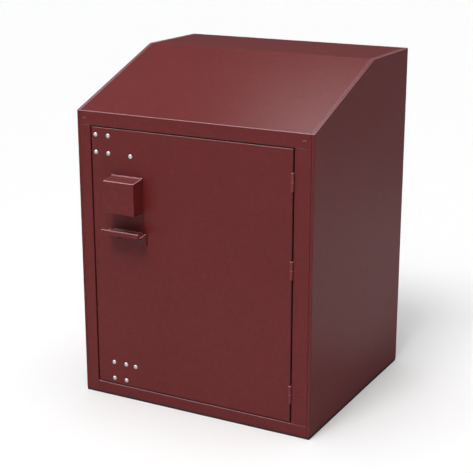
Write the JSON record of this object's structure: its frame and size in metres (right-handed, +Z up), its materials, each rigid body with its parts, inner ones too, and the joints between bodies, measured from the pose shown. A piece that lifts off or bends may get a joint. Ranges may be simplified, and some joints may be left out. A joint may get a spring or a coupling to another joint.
{
  "type": "book drop box",
  "caption": "Sheet-steel book drop cabinet with a slanted hood, a padlockable front door with a lift latch and bolts, and a flapped deposit slot in the back.",
  "frame": {"origin": "on the floor, under the middle of the box that just holds the whole object", "axes": "+Z up, the door faces -Y, +X to the right seen from the door"},
  "size_m": [0.762, 0.7344, 1.03],
  "materials": {
    "maroon_paint": "satin maroon powder coat with a fine orange-peel grain",
    "bright_zinc": "bright zinc-plated fasteners",
    "plated_steel": "dull zinc-plated working parts",
    "black_rubber": "matt black strips",
    "black_zinc": "black zinc-plated screws under the ledge"
  },
  "bodies": {
    "cabinet": {"left_side_panel": "maroon_paint", "right_side_panel": "maroon_paint", "hood_panel": "maroon_paint", "left_stile": "maroon_paint", "right_stile": "maroon_paint", "bottom_rail": "maroon_paint", "back_panel": "maroon_paint", "floor_pan": "maroon_paint", "base_strips": "black_rubber", "deposit_bezel": "maroon_paint", "bezel_screws": "bright_zinc", "bezel_nuts": "bright_zinc", "flap_rod": "plated_steel", "rod_clips": "bright_zinc", "chute_plate": "maroon_paint", "chute_brackets": "maroon_paint", "strike_plates": "plated_steel", "upper_frame_leaf": "maroon_paint", "upper_hinge_pin": "plated_steel", "middle_frame_leaf": "maroon_paint", "middle_hinge_pin": "plated_steel", "lower_frame_leaf": "maroon_paint", "lower_hinge_pin": "plated_steel"},
    "door": {"door_pan": "maroon_paint", "door_stiffener": "maroon_paint", "lock_cover": "maroon_paint", "fixed_eye": "maroon_paint", "top_guide": "plated_steel", "bottom_guide": "plated_steel", "top_guide_screws": "bright_zinc", "bottom_guide_screws": "bright_zinc", "top_guide_nuts": "bright_zinc", "bottom_guide_nuts": "bright_zinc", "guide_studs": "bright_zinc", "stud_sleeves": "plated_steel", "stud_washers": "bright_zinc", "stud_nuts": "bright_zinc", "upper_door_leaf": "maroon_paint", "middle_door_leaf": "maroon_paint", "lower_door_leaf": "maroon_paint"},
    "latch_slide": {"handle_ledge": "maroon_paint", "slide_plate": "maroon_paint", "moving_eye": "maroon_paint", "handle_screws": "black_zinc", "handle_nuts": "bright_zinc", "slide_bushes": "plated_steel", "carriage_plate": "plated_steel", "spacer_block": "plated_steel", "draw_bar": "plated_steel", "bar_screws": "bright_zinc"},
    "top_bolt": {"top_bolt": "plated_steel", "top_cam_pin": "plated_steel"},
    "bottom_bolt": {"bottom_bolt": "plated_steel", "bottom_cam_pin": "plated_steel"},
    "deposit_flap": {"deposit_flap": "maroon_paint"}
  },
  "joints": [
    {"name": "door_hinge", "type": "hinge", "parent": "cabinet", "child": "door", "pos_m": [0.31927, -0.3194, 0.44], "axis": [0, 0, 1], "range_deg": [0, 115]},
    {"name": "latch_lift", "type": "slide", "parent": "door", "child": "latch_slide", "axis": [0, 0, 1], "range_m": [0, 0.025]},
    {"name": "top_bolt_throw", "type": "slide", "parent": "door", "child": "top_bolt", "axis": [-1, 0, 0], "range_m": [0, 0.025]},
    {"name": "bottom_bolt_throw", "type": "slide", "parent": "door", "child": "bottom_bolt", "axis": [-1, 0, 0], "range_m": [0, 0.025]},
    {"name": "flap_swing", "type": "hinge", "parent": "cabinet", "child": "deposit_flap", "pos_m": [0, 0.3488, 0.922], "axis": [-1, 0, 0], "range_deg": [0, 60]}
  ],
  "couplings": [
    {"joint": "top_bolt_throw", "follows": "latch_lift", "ratio": 1},
    {"joint": "bottom_bolt_throw", "follows": "latch_lift", "ratio": 1}
  ]
}
